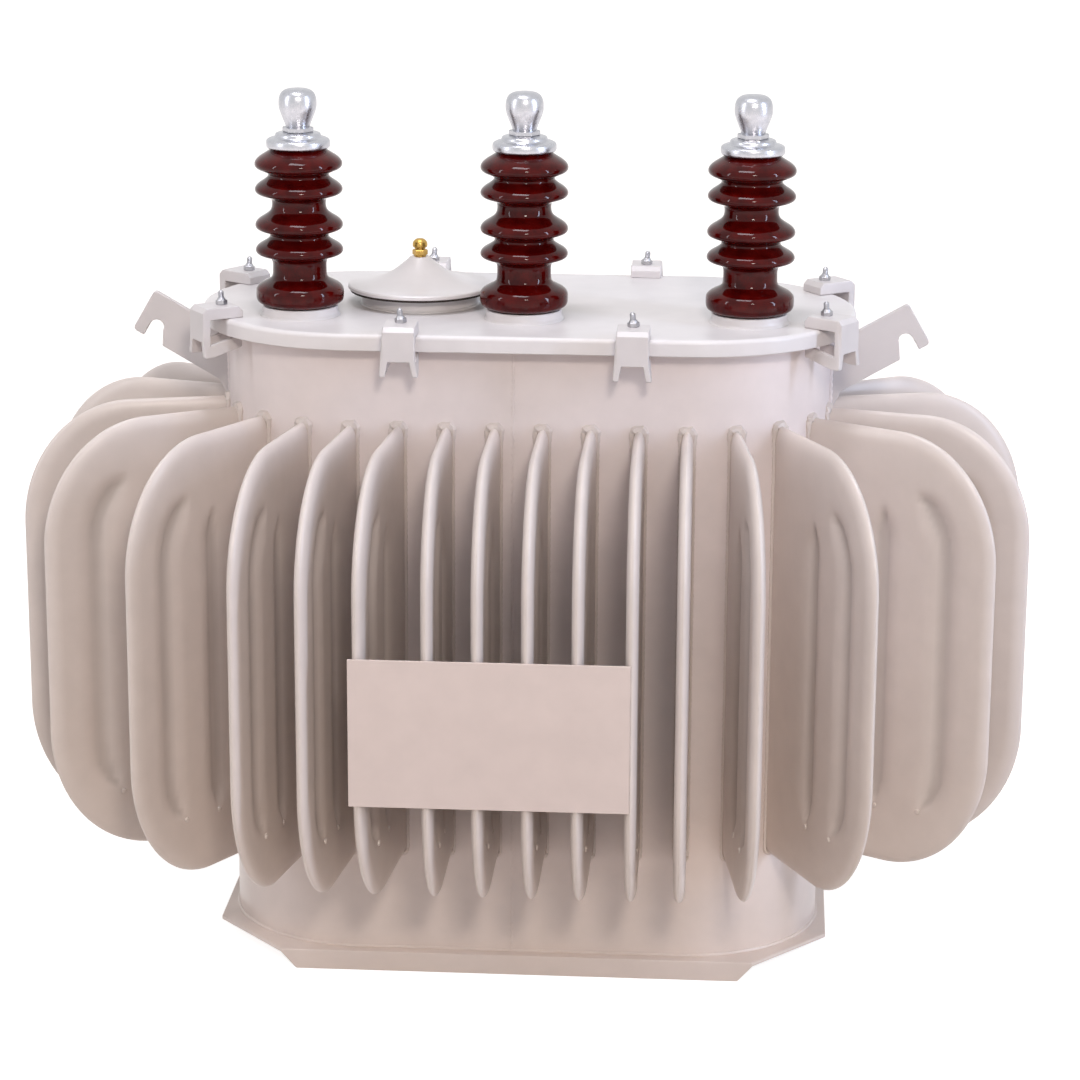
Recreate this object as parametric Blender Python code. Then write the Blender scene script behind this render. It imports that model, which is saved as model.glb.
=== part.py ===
"""Oil-filled distribution transformer: oblong tank, pressed cooling fins, bushings on a clamped lid.

Metres, +Z up, the front towards -Y. The origin is on the ground under the middle of the tank.
Run in Blender 4.5 or later: blender --background --python part.py
"""
import math

import bmesh
import bpy
from mathutils import Matrix

DEGREE = math.pi / 180
QUARTER = math.pi / 2
FULL_TURN = 2 * math.pi

# Clearance where one piece seats on another, and how deep joined shapes run into each other
SEAT_GAP = 0.0003
JOIN_DEPTH = 0.001
SMOOTH_LIMIT = 40 * DEGREE

# Tank: an oblong shell, flat along the front and back, half round at both ends.
# The end arcs step by ten degrees, so every end fin stands on a corner of the wall.
FIN_PITCH = 0.063
FLAT_FIN_COUNT = 8
HALF_FLAT = FIN_PITCH * (FLAT_FIN_COUNT - 1) / 2
TANK_RADIUS = 0.186
WALL_THICKNESS = 0.004
LID_TOP = 0.887
END_ARC_STEPS = 18

# Base plate with a lip folded down along the front and the back
BASE_TOP = 0.028
BASE_THICKNESS = 0.006
BASE_OVERHANG = 0.018
BASE_HALF_LENGTH = 0.420
BASE_HALF_FRONT = 0.320
BASE_HALF_SIDE = 0.090
LIP_THICKNESS = 0.008
LIP_END_CUT = 0.020

# Lid with its down-turned rim, and the flange ring that it covers
LID_OVERHANG = 0.033
LID_THICKNESS = 0.005
LID_RIM_HEIGHT = 0.022
LID_EDGE_RADIUS = 0.004
LID_EDGE_STEPS = 2
FLANGE_THICKNESS = 0.006
FLANGE_CLEARANCE = 0.002

# Fins: pressed, hollow, rounded at the outer corners, with two long grooves on each face
FIN_REACH = 0.280
FIN_THICKNESS = 0.016
FIN_ROLL = 0.018
FIN_TOP_DROP = 0.127
FIN_TOP = LID_TOP - FIN_TOP_DROP
FIN_BOTTOM = 0.165
FIN_TOP_CORNER = (0.145, 0.165)
FIN_BOTTOM_CORNER = (0.150, 0.175)
FIN_CORNER_STEPS = 5
FIN_BEND_SHARE = 1 - math.sqrt(1 / 2)
GROOVE_HALF_WIDTH = 0.012
GROOVE_SLOPE = 0.007
GROOVE_HALF_FLOOR = 0.0025
OUTER_GROOVE_INSET = 0.070
OUTER_GROOVE_BEND = 65 * DEGREE
OUTER_GROOVE_STEPS = 3
INNER_GROOVE_PLACE = 0.117
INNER_GROOVE_DROP = 0.108
GROOVE_BOTTOM_RISE = 0.092

# Which way each flat-side fin leans towards +X, and how the end fins fan out from front to middle
FRONT_FIN_LEANS = (-7 * DEGREE, -5 * DEGREE, 0, 0, 0, 0, DEGREE, DEGREE)
BACK_FIN_LEANS = (0,) * FLAT_FIN_COUNT
END_FIN_PLACES = (20 * DEGREE, 40 * DEGREE, 60 * DEGREE, 80 * DEGREE)
LEFT_FIN_DIRECTIONS = (12 * DEGREE, 31 * DEGREE, 58 * DEGREE, 75 * DEGREE)
RIGHT_FIN_DIRECTIONS = (7.5 * DEGREE, 26.5 * DEGREE, 59 * DEGREE, 75 * DEGREE)

# Bare plate across the front fins
NAME_PLATE_WIDTH = 0.354
NAME_PLATE_HEIGHT = 0.194
NAME_PLATE_THICKNESS = 0.003
NAME_PLATE_CENTRE = -0.0155
NAME_PLATE_RISE = 0.168

# Lid clamps: two C-shaped cheeks over the rim, joined by a head and a web; heights from the lid top
CLAMP_HALF_WIDTH = 0.021
CLAMP_CHEEK = 0.007
CLAMP_OUT = 0.032
CLAMP_WEB = 0.011
CLAMP_HEAD = 0.016
CLAMP_HEAD_EDGE = 0.006
CLAMP_WEB_DROP = 0.029
CLAMP_THROAT_DROP = 0.034
CLAMP_LEG_DROP = 0.049
CLAMP_LEG_DEPTH = 0.013
CLAMP_LEG_SPLAY = 0.004
CLAMP_UPPER_REACH = 0.026
CLAMP_LOWER_REACH = 0.024
CLAMP_JAW_DEPTH = 0.016
CLAMP_FRONT_PLACE = 0.150
CLAMP_END_ANGLE = 56 * DEGREE

# Lifting lugs: a flat band rising outward with a hook slot near its tip
LUG_THICKNESS = 0.010
LUG_RISE = 30 * DEGREE
LUG_HALF_BAND = 0.031
LUG_LENGTH = 0.135
LUG_CORNER_RADIUS = 0.005
LUG_CORNER_STEPS = 2
LUG_HORN = 0.017
LUG_SLOT_RADIUS = 0.0098
LUG_SLOT_DEPTH = 0.029
LUG_SLOT_FLARE = 0.0095
LUG_SLOT_STEPS = 6
LUG_FOOT_DROP = 0.030

# Hand-hole neck on the lid, its conical cover and the relief valve
NECK_PLACE = -0.147
NECK_RADIUS = 0.078
NECK_HEIGHT = 0.020
COVER_RADIUS = 0.097
COVER_EDGE = 0.006
COVER_RISE = 0.036
COVER_HUB_RADIUS = 0.013
COVER_CONE_POWER = 2.2
COVER_CONE_STEPS = 4
COVER_SEGMENTS = 24
VALVE_RADIUS = 0.0105
VALVE_WAIST_RADIUS = 0.0075
VALVE_HEIGHTS = (0.008, 0.012, 0.018, 0.024)
VALVE_TIP_RADIUS = 0.006

# High-voltage bushings, each on a boss of the lid: foot, base ring, neck and two pairs of sheds
BOSS_RADIUS = 0.050
BOSS_HEIGHT = 0.013
BUSHING_COUNT = 3
BUSHING_END_REACH = 0.0765
BUSHING_SPACING = HALF_FLAT + BUSHING_END_REACH
BUSHING_PLACE = -0.093
BUSHING_SEGMENTS = 14
FOOT_RADIUS = 0.046
RING_RADIUS = 0.058
RING_LOW = 0.019
RING_HIGH = 0.038
NECK_LOW = 0.050
NECK_HIGH = 0.073
BUSHING_NECK_RADIUS = 0.034
STEM_RADIUS = 0.037
SHED_RADIUS = 0.058
SHED_LIP = 0.009
SHED_HALF_LIP = 0.010
SHED_LIP_STEPS = 2
SHED_ROOT_RADIUS = 0.040
SHED_HALF_ROOT = 0.0155
SHED_PAIRS = ((0.089, 0.121), (0.168, 0.202))
BUSHING_HEIGHT = 0.221

# Cap and ball terminal on each high-voltage bushing
TERMINAL_SEGMENTS = 12
CAP_RADIUS = 0.042
CAP_TOP_RADIUS = 0.034
CAP_HEIGHT = 0.020
CAP_EDGE = 0.004
BALL_NECK_RADIUS = 0.018
BALL_NECK_HEIGHT = 0.027
BALL_RADIUS = 0.025
BALL_HEIGHT = 0.054
BALL_HALF_HEIGHT = 0.025
BALL_START = -36 * DEGREE
BALL_END = 72 * DEGREE
BALL_STEPS = 4

# Low-voltage bushings standing out of the back wall
LV_COUNT = 4
LV_SPACING = 0.090
LV_DROP = 0.087
LV_RADIUS = 0.027
LV_STEM_RADIUS = 0.019
LV_SHED_PLACES = (0.006, 0.037, 0.063)
LV_SHED_HALF_WIDTH = 0.003
LV_SHED_HALF_ROOT = 0.009
LV_LENGTH = 0.080
LV_STUD_RADIUS = 0.007
LV_STUD_LENGTH = 0.045
LV_SEGMENTS = 8

# Paint, glaze and metals as plain colours
PAINT = ("grey_paint", (0.62, 0.54, 0.52), 0.35, 0.0)
PLATE_PAINT = ("plate_paint", (0.66, 0.55, 0.50), 0.5, 0.0)
PORCELAIN = ("brown_porcelain", (0.085, 0.008, 0.008), 0.12, 0.0)
TINNED_METAL = ("tinned_metal", (0.72, 0.72, 0.73), 0.3, 1.0)
BRASS = ("brass", (0.60, 0.42, 0.17), 0.35, 1.0)


def clear_scene():
    """Start from an empty scene."""
    for old in list(bpy.data.objects):
        bpy.data.objects.remove(old, do_unlink=True)


def make_material(name, colour, roughness, metallic):
    """One Principled material of an even colour."""
    material = bpy.data.materials.new(name)
    material.use_nodes = True
    shader = material.node_tree.nodes["Principled BSDF"]
    shader.inputs["Base Color"].default_value = (*colour, 1.0)
    shader.inputs["Roughness"].default_value = roughness
    shader.inputs["Metallic"].default_value = metallic
    material.diffuse_color = (*colour, 1.0)
    return material


def add_piece(name, bm, material, parent, matrix=None):
    """Turn a bmesh into a named, smooth-shaded object under the parent."""
    bmesh.ops.recalc_face_normals(bm, faces=bm.faces)
    mesh = bpy.data.meshes.new(name)
    bm.to_mesh(mesh)
    bm.free()
    mesh.materials.append(material)
    mesh.shade_smooth()
    mesh.set_sharp_from_angle(angle=SMOOTH_LIMIT)
    piece = bpy.data.objects.new(name, mesh)
    bpy.context.collection.objects.link(piece)
    piece.parent = parent
    if matrix is not None:
        piece.matrix_local = matrix
    return piece


def unite(piece, shape):
    """Join a helper shape to a piece with an exact Boolean."""
    shape.hide_render = True
    shape.display_type = "WIRE"
    union = piece.modifiers.new(shape.name, "BOOLEAN")
    union.operation = "UNION"
    union.solver = "EXACT"
    union.object = shape


def upright(x, y, z, turn=0.0):
    """Placement: turned about Z, then moved."""
    return Matrix.Translation((x, y, z)) @ Matrix.Rotation(turn, 4, "Z")


def skin_rings(bm, rings, closed_loop=False):
    """Faces between rings of equal length; the end rings are capped unless the rings form a loop."""
    pairs = list(zip(rings, rings[1:]))
    if closed_loop:
        pairs.append((rings[-1], rings[0]))
    for low, high in pairs:
        for k in range(len(low)):
            bm.faces.new((low[k - 1], low[k], high[k], high[k - 1]))
    if not closed_loop:
        bm.faces.new(rings[0])
        bm.faces.new(rings[-1])


def arc(centre, radii, start, end, steps):
    """Points of an elliptical arc, both ends included."""
    angles = [start + (end - start) * k / steps for k in range(steps + 1)]
    return [(centre[0] + radii[0] * math.cos(a), centre[1] + radii[1] * math.sin(a)) for a in angles]


def revolve(profile, segments):
    """Body of revolution round Z from (radius, height) points, bottom to top."""
    bm = bmesh.new()
    rings = []
    for radius, height in profile:
        circle = arc((0, 0), (radius, radius), 0, FULL_TURN, segments)[:-1]
        rings.append([bm.verts.new((x, y, height)) for x, y in circle])
    skin_rings(bm, rings)
    return bm


def oblong_body(profile, closed_loop):
    """Body whose every level is an oblong round the tank's axis, from (end radius, height) points."""
    bm = bmesh.new()
    rings = []
    for radius, height in profile:
        right = arc((HALF_FLAT, 0), (radius, radius), -QUARTER, QUARTER, END_ARC_STEPS)
        left = [(-x, -y) for x, y in right]
        rings.append([bm.verts.new((x, y, height)) for x, y in right + left])
    skin_rings(bm, rings, closed_loop)
    return bm


def extrude_outline(outline, start, end, place):
    """Prism from an outline; place(a, b, depth) gives the corner for an outline point at a depth."""
    bm = bmesh.new()
    rings = [[bm.verts.new(place(a, b, depth)) for a, b in outline] for depth in (start, end)]
    skin_rings(bm, rings)
    return bm


def build_tank(material, parent):
    """Oblong wall open at top and bottom, and the flange ring round its upper edge."""
    low = BASE_TOP + SEAT_GAP
    high = LID_TOP - LID_THICKNESS - SEAT_GAP
    inner = TANK_RADIUS - WALL_THICKNESS
    wall = ((inner, low), (TANK_RADIUS, low), (TANK_RADIUS, high), (inner, high))
    add_piece("tank_wall", oblong_body(wall, True), material, parent)
    hole = TANK_RADIUS + SEAT_GAP
    edge = TANK_RADIUS + LID_OVERHANG - LID_THICKNESS - FLANGE_CLEARANCE
    flange = ((hole, high - FLANGE_THICKNESS), (edge, high - FLANGE_THICKNESS), (edge, high), (hole, high))
    add_piece("tank_flange", oblong_body(flange, True), material, parent)


def build_base(material, parent):
    """Octagonal plate with a lip folded down along the front and the back, ends cut slanting."""
    half_depth = TANK_RADIUS + BASE_OVERHANG
    right = [(BASE_HALF_FRONT, -half_depth), (BASE_HALF_LENGTH, -BASE_HALF_SIDE),
             (BASE_HALF_LENGTH, BASE_HALF_SIDE), (BASE_HALF_FRONT, half_depth)]
    octagon = right + [(-x, -y) for x, y in right]
    underside = BASE_TOP - BASE_THICKNESS
    bm = extrude_outline(octagon, underside, BASE_TOP, lambda x, y, z: (x, y, z))
    plate = add_piece("base_plate", bm, material, parent)
    foot = BASE_HALF_FRONT - LIP_END_CUT
    shoulder = BASE_HALF_FRONT - JOIN_DEPTH
    lip = ((-foot, 0), (foot, 0), (BASE_HALF_FRONT, underside), (shoulder, underside + JOIN_DEPTH),
           (-shoulder, underside + JOIN_DEPTH), (-BASE_HALF_FRONT, underside))
    for side, label in ((-1, "front"), (1, "back")):
        bm = extrude_outline(lip, side * (half_depth - LIP_THICKNESS), side * half_depth,
                             lambda x, z, y: (x, y, z))
        unite(plate, add_piece("lip_" + label, bm, material, None))


def bushing_place(k):
    """Where a high-voltage bushing stands along the lid."""
    return BUSHING_SPACING * (k - (BUSHING_COUNT - 1) / 2)


def build_lid(material, parent):
    """Lid with a down-turned rim, hollow beneath; on it the hand-hole neck and the bushings' bosses."""
    outer = TANK_RADIUS + LID_OVERHANG
    inner = outer - LID_THICKNESS
    rim_low = LID_TOP - LID_RIM_HEIGHT
    soft = LID_EDGE_RADIUS
    profile = [(inner, LID_TOP - LID_THICKNESS), (inner, rim_low), (outer, rim_low)]
    profile += arc((outer - soft, LID_TOP - soft), (soft, soft), 0, QUARTER, LID_EDGE_STEPS)
    lid = add_piece("lid", oblong_body(profile, False), material, parent)
    neck = ((NECK_RADIUS, LID_TOP - JOIN_DEPTH), (NECK_RADIUS, LID_TOP + NECK_HEIGHT))
    unite(lid, add_piece("neck", revolve(neck, COVER_SEGMENTS), material, None, upright(NECK_PLACE, 0, 0)))
    boss = ((BOSS_RADIUS, LID_TOP - JOIN_DEPTH), (BOSS_RADIUS, LID_TOP + BOSS_HEIGHT))
    for k in range(BUSHING_COUNT):
        place = upright(bushing_place(k), BUSHING_PLACE, 0)
        unite(lid, add_piece("boss_%d" % (k + 1), revolve(boss, BUSHING_SEGMENTS), material, None, place))


def fin_edge(inset):
    """A fin's edge, from the wall at the top round to the wall at the bottom, drawn in by the inset."""
    top_width, top_height = FIN_TOP_CORNER
    low_width, low_height = FIN_BOTTOM_CORNER
    points = [(0, FIN_TOP - inset)]
    points += arc((FIN_REACH - top_width, FIN_TOP - top_height),
                  (top_width - inset, top_height - inset), QUARTER, 0, FIN_CORNER_STEPS)
    points += arc((FIN_REACH - low_width, FIN_BOTTOM + low_height),
                  (low_width - inset, low_height - inset), 0, -QUARTER, FIN_CORNER_STEPS)
    points.append((0, FIN_BOTTOM + inset))
    return points


def groove_lines():
    """Centre lines of the two grooves, bottom to top; the outer one bends in along the fin's corner."""
    low = FIN_BOTTOM + GROOVE_BOTTOM_RISE
    width, height = FIN_TOP_CORNER
    bend = arc((FIN_REACH - width, FIN_TOP - height),
               (width - OUTER_GROOVE_INSET, height - OUTER_GROOVE_INSET),
               0, OUTER_GROOVE_BEND, OUTER_GROOVE_STEPS)
    outer = [(FIN_REACH - OUTER_GROOVE_INSET, low)] + bend
    inner = [(INNER_GROOVE_PLACE, low), (INNER_GROOVE_PLACE, FIN_TOP - INNER_GROOVE_DROP)]
    return outer, inner


def groove_outline(line, half_width):
    """Closed outline at a half width round a groove's centre line, with a pointed end at each tip."""
    left, right = [], []
    for k, (x, z) in enumerate(line):
        before, after = line[max(k - 1, 0)], line[min(k + 1, len(line) - 1)]
        run, rise = after[0] - before[0], after[1] - before[1]
        length = math.hypot(run, rise)
        across = (-rise / length * half_width, run / length * half_width)
        left.append((x + across[0], z + across[1]))
        right.append((x - across[0], z - across[1]))
        tip = (x + run / length * half_width, z + rise / length * half_width)
    foot = (line[0][0], line[0][1] - half_width)
    return [foot] + right + [tip] + left[::-1]


def press_fin_face(bm, rim, slant, side):
    """One pressed face of a fin: rounded edge, flat panel and sunken grooves. Returns its wall ends."""
    half = FIN_THICKNESS / 2
    strips = [rim]
    for inset, out in ((FIN_ROLL * FIN_BEND_SHARE, half - half * FIN_BEND_SHARE), (FIN_ROLL, half)):
        strip = [bm.verts.new((x, side * out, z)) for x, z in fin_edge(inset)]
        for end in (strip[0], strip[-1]):
            end.co.x = -side * out * math.tan(slant)
        strips.append(strip)
    for outer, inner in zip(strips, strips[1:]):
        for k in range(len(outer) - 1):
            bm.faces.new((outer[k], outer[k + 1], inner[k + 1], inner[k]))
    loops = [strips[-1]]
    for line in groove_lines():
        brink = [bm.verts.new((x, side * half, z)) for x, z in groove_outline(line, GROOVE_HALF_WIDTH)]
        floor = [bm.verts.new((x, side * GROOVE_HALF_FLOOR, z))
                 for x, z in groove_outline(line, GROOVE_HALF_WIDTH - GROOVE_SLOPE)]
        for k in range(len(brink)):
            bm.faces.new((brink[k - 1], brink[k], floor[k], floor[k - 1]))
        bm.faces.new(floor)
        loops.append(brink)
    pairs = [(loop[k - 1], loop[k]) for loop in loops for k in range(len(loop))]
    edges = [bm.edges.get(pair) or bm.edges.new(pair) for pair in pairs]
    bmesh.ops.triangle_fill(bm, use_beauty=True, edges=edges)
    return [strip[0] for strip in strips[1:]], [strip[-1] for strip in strips[1:]]


def fin_body(slant):
    """A fin out along +X from x = 0, its wall edge cut to the slant of the wall there."""
    bm = bmesh.new()
    rim = [bm.verts.new((x, 0, z)) for x, z in fin_edge(0)]
    near_top, near_low = press_fin_face(bm, rim, slant, -1)
    far_top, far_low = press_fin_face(bm, rim, slant, 1)
    bm.faces.new([rim[0], *far_top, *far_low[::-1], rim[-1], *near_low, *near_top[::-1]])
    return bm


def build_fin(name, root, facing, direction, material, parent):
    """A fin on the wall point that faces one way, set in another; angles turn from -Y towards +X."""
    bm = fin_body(facing - direction)
    add_piece(name, bm, material, parent, upright(root[0], root[1], 0, direction - QUARTER))


def build_fins(material, parent):
    """The flat sides' fins at the pitch, and the end fins fanned round both ends."""
    foot = TANK_RADIUS + SEAT_GAP
    for k, (front_lean, back_lean) in enumerate(zip(FRONT_FIN_LEANS, BACK_FIN_LEANS)):
        x = FIN_PITCH * k - HALF_FLAT
        build_fin("fin_front_%d" % (k + 1), (x, -foot), 0, front_lean, material, parent)
        build_fin("fin_back_%d" % (k + 1), (x, foot), math.pi, math.pi - back_lean, material, parent)
    places = list(END_FIN_PLACES) + [math.pi - angle for angle in reversed(END_FIN_PLACES)]
    for side, label, fan in ((-1, "left", LEFT_FIN_DIRECTIONS), (1, "right", RIGHT_FIN_DIRECTIONS)):
        directions = list(fan) + [math.pi - angle for angle in reversed(fan)]
        for k, (place, direction) in enumerate(zip(places, directions)):
            root = (side * (HALF_FLAT + foot * math.sin(place)), -foot * math.cos(place))
            build_fin("fin_%s_%d" % (label, k + 1), root, side * place, side * direction, material, parent)


def build_name_plate(material, parent):
    """Bare plate resting on the outer edges of the front fins."""
    back = -(TANK_RADIUS + FIN_REACH + 2 * SEAT_GAP)
    left = NAME_PLATE_CENTRE - NAME_PLATE_WIDTH / 2
    right = NAME_PLATE_CENTRE + NAME_PLATE_WIDTH / 2
    low = FIN_BOTTOM + NAME_PLATE_RISE
    outline = ((left, back), (right, back), (right, back - NAME_PLATE_THICKNESS),
               (left, back - NAME_PLATE_THICKNESS))
    bm = extrude_outline(outline, low, low + NAME_PLATE_HEIGHT, lambda x, y, z: (x, y, z))
    add_piece("name_plate", bm, material, parent)


def clamp_outlines():
    """Side view of a clamp, +X outward from the rim: its body from the web's foot up, and its jaw below."""
    web = CLAMP_OUT - CLAMP_WEB
    bite = -LID_RIM_HEIGHT - SEAT_GAP
    body = [(web, -CLAMP_WEB_DROP), (web, SEAT_GAP), (-CLAMP_UPPER_REACH, SEAT_GAP),
            (-CLAMP_UPPER_REACH, CLAMP_HEAD - CLAMP_HEAD_EDGE),
            (CLAMP_HEAD_EDGE - CLAMP_UPPER_REACH, CLAMP_HEAD), (CLAMP_OUT - CLAMP_HEAD_EDGE, CLAMP_HEAD),
            (CLAMP_OUT, CLAMP_HEAD - CLAMP_HEAD_EDGE), (CLAMP_OUT, -CLAMP_WEB_DROP)]
    jaw = [(CLAMP_OUT, -CLAMP_LEG_DROP), (CLAMP_OUT - CLAMP_LEG_DEPTH, -CLAMP_LEG_DROP),
           (-CLAMP_LOWER_REACH, bite - CLAMP_JAW_DEPTH), (-CLAMP_LOWER_REACH, bite),
           (web, -CLAMP_THROAT_DROP)]
    return body, jaw


def clamp_body():
    """Clamp: two C-shaped cheeks with splayed legs, and between them a head and a web without a jaw."""
    bm = bmesh.new()
    body, jaw = clamp_outlines()
    inner = CLAMP_HALF_WIDTH - CLAMP_CHEEK
    rings = []
    for y in (-CLAMP_HALF_WIDTH, -inner, inner, CLAMP_HALF_WIDTH):
        splays = [math.copysign(CLAMP_LEG_SPLAY, y) if z == -CLAMP_LEG_DROP else 0 for x, z in body + jaw]
        rings.append([bm.verts.new((x, y + splay, z)) for (x, z), splay in zip(body + jaw, splays)])
    spans = (len(body + jaw), len(body), len(body + jaw))
    for low, high, span in zip(rings, rings[1:], spans):
        for k in range(span):
            before = (k - 1) % span
            bm.faces.new((low[before], low[k], high[k], high[before]))
    bm.faces.new(rings[0])
    bm.faces.new(rings[-1])
    for ring in rings[1:-1]:
        bm.faces.new([ring[0], *ring[len(body) - 1:]])
    return bm


def build_clamps(material, parent):
    """Clamps along the rim: two in front, two behind, two round each end."""
    edge = TANK_RADIUS + LID_OVERHANG
    spots = []
    for side in (-1, 1):
        spots += [(x, side * edge, side * QUARTER) for x in (-CLAMP_FRONT_PLACE, CLAMP_FRONT_PLACE)]
    for side in (-1, 1):
        for turn in (CLAMP_END_ANGLE, math.pi - CLAMP_END_ANGLE):
            angle = side * turn - QUARTER
            spots.append((side * HALF_FLAT + edge * math.cos(angle), edge * math.sin(angle), angle))
    for k, (x, y, angle) in enumerate(spots):
        add_piece("lid_clamp_%d" % (k + 1), clamp_body(), material, parent, upright(x, y, LID_TOP, angle))


def lug_outline():
    """Lug outline in (outward, up): a sloping band from the wall with a hook slot near its tip."""
    half, corner, slot = LUG_HALF_BAND, LUG_CORNER_RADIUS, LUG_SLOT_RADIUS
    slot_middle = LUG_LENGTH - LUG_HORN - slot
    band = [(slot_middle - slot - LUG_SLOT_FLARE, -half)]
    band += arc((slot_middle, LUG_SLOT_DEPTH - half - slot), (slot, slot), math.pi, 0, LUG_SLOT_STEPS)
    band += [(slot_middle + slot, -half)]
    for side in (-1, 1):
        band += arc((LUG_LENGTH - corner, side * (half - corner)), (corner, corner),
                    min(side, 0) * QUARTER, max(side, 0) * QUARTER, LUG_CORNER_STEPS)
    cosine, sine = math.cos(LUG_RISE), math.sin(LUG_RISE)
    turned = [(along * cosine - across * sine, along * sine + across * cosine) for along, across in band]
    slope = math.tan(LUG_RISE)
    heel_out = half * sine
    top = (0, turned[-1][1] - turned[-1][0] * slope)
    heel = (heel_out, turned[0][1] - (turned[0][0] - heel_out) * slope)
    return [top, (0, heel[1] - LUG_FOOT_DROP), heel] + turned


def build_lugs(material, parent):
    """A lifting lug on the wall at each end, under the rim."""
    root = HALF_FLAT + TANK_RADIUS + SEAT_GAP
    level = LID_TOP - LID_RIM_HEIGHT - 2 * LUG_HALF_BAND
    for side, label in ((-1, "left"), (1, "right")):
        bm = extrude_outline(lug_outline(), -LUG_THICKNESS / 2, LUG_THICKNESS / 2,
                             lambda out, up, y, side=side: (side * (root + out), y, level + up))
        add_piece("lifting_lug_" + label, bm, material, parent)


def build_cover(material, brass, parent):
    """Hand-hole cover whose cone steepens towards the hub, and the relief valve on the hub."""
    seat = LID_TOP + NECK_HEIGHT + SEAT_GAP
    profile = [(COVER_RADIUS, 0), (COVER_RADIUS, COVER_EDGE)]
    for k in range(1, COVER_CONE_STEPS + 1):
        share = k / COVER_CONE_STEPS
        radius = COVER_RADIUS + (COVER_HUB_RADIUS - COVER_RADIUS) * share
        profile.append((radius, COVER_EDGE + COVER_RISE * share ** COVER_CONE_POWER))
    add_piece("handhole_cover", revolve(profile, COVER_SEGMENTS), material, parent,
              upright(NECK_PLACE, 0, seat))
    waist_low, waist_high, shoulder, tip = VALVE_HEIGHTS
    valve = ((VALVE_RADIUS, 0), (VALVE_RADIUS, waist_low), (VALVE_WAIST_RADIUS, waist_high),
             (VALVE_RADIUS, waist_high), (VALVE_RADIUS, shoulder), (VALVE_TIP_RADIUS, tip))
    add_piece("relief_valve", revolve(valve, TERMINAL_SEGMENTS), brass, parent,
              upright(NECK_PLACE, 0, seat + COVER_EDGE + COVER_RISE + SEAT_GAP))


def bushing_profile():
    """Porcelain from the foot up: tapered foot, base ring, neck, two pairs of sheds and the head."""
    profile = [(FOOT_RADIUS, BOSS_HEIGHT), (RING_RADIUS, RING_LOW), (RING_RADIUS, RING_HIGH),
               (BUSHING_NECK_RADIUS, NECK_LOW), (BUSHING_NECK_RADIUS, NECK_HIGH)]
    lip_centre = SHED_RADIUS - SHED_LIP
    for low, high in SHED_PAIRS:
        for height in (low, high):
            profile += arc((lip_centre, height), (SHED_LIP, SHED_HALF_LIP),
                           -QUARTER, QUARTER, SHED_LIP_STEPS)
            if height == low:
                profile.append((SHED_ROOT_RADIUS, (low + high) / 2))
        if high != SHED_PAIRS[-1][-1]:
            profile += [(STEM_RADIUS, high + SHED_HALF_ROOT),
                        (STEM_RADIUS, SHED_PAIRS[-1][0] - SHED_HALF_ROOT)]
    return profile + [(STEM_RADIUS, BUSHING_HEIGHT)]


def terminal_profile():
    """Cap disc, neck and a slightly flattened ball."""
    cap = [(CAP_RADIUS - CAP_EDGE, 0), (CAP_RADIUS, CAP_EDGE), (CAP_RADIUS, CAP_HEIGHT - CAP_EDGE),
           (CAP_TOP_RADIUS, CAP_HEIGHT), (BALL_NECK_RADIUS, BALL_NECK_HEIGHT)]
    return cap + arc((0, BALL_HEIGHT), (BALL_RADIUS, BALL_HALF_HEIGHT), BALL_START, BALL_END, BALL_STEPS)


def build_bushings(porcelain, metal, parent):
    """Three porcelain bushings in a row on the lid, each with its cap and ball terminal."""
    foot = LID_TOP + SEAT_GAP
    for k in range(BUSHING_COUNT):
        x = bushing_place(k)
        add_piece("hv_bushing_%d" % (k + 1), revolve(bushing_profile(), BUSHING_SEGMENTS), porcelain,
                  parent, upright(x, BUSHING_PLACE, foot))
        add_piece("hv_terminal_%d" % (k + 1), revolve(terminal_profile(), TERMINAL_SEGMENTS), metal,
                  parent, upright(x, BUSHING_PLACE, foot + BUSHING_HEIGHT + SEAT_GAP))


def build_lv_bushings(porcelain, parent):
    """Small bushings in a row, standing straight out of the back wall above the fins."""
    profile = [(LV_RADIUS, 0)]
    for place in LV_SHED_PLACES:
        if place != LV_SHED_PLACES[0]:
            profile += [(LV_STEM_RADIUS, place - LV_SHED_HALF_ROOT), (LV_RADIUS, place - LV_SHED_HALF_WIDTH)]
        profile += [(LV_RADIUS, place + LV_SHED_HALF_WIDTH), (LV_STEM_RADIUS, place + LV_SHED_HALF_ROOT)]
    profile += [(LV_STEM_RADIUS, LV_LENGTH), (LV_STUD_RADIUS, LV_LENGTH),
                (LV_STUD_RADIUS, LV_LENGTH + LV_STUD_LENGTH)]
    lay_back = Matrix.Rotation(-QUARTER, 4, "X")
    for k in range(LV_COUNT):
        x = LV_SPACING * (k - (LV_COUNT - 1) / 2)
        place = upright(x, TANK_RADIUS + SEAT_GAP, LID_TOP - LV_DROP) @ lay_back
        add_piece("lv_bushing_%d" % (k + 1), revolve(profile, LV_SEGMENTS), porcelain, parent, place)


def build():
    """Build every piece under one empty."""
    clear_scene()
    parent = bpy.data.objects.new("transformer", None)
    bpy.context.collection.objects.link(parent)
    paint, plate_paint, porcelain, metal, brass = (
        make_material(*look) for look in (PAINT, PLATE_PAINT, PORCELAIN, TINNED_METAL, BRASS))
    build_base(paint, parent)
    build_tank(paint, parent)
    build_fins(paint, parent)
    build_name_plate(plate_paint, parent)
    build_lid(paint, parent)
    build_clamps(paint, parent)
    build_lugs(paint, parent)
    build_cover(paint, brass, parent)
    build_bushings(porcelain, metal, parent)
    build_lv_bushings(porcelain, parent)


build()
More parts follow.
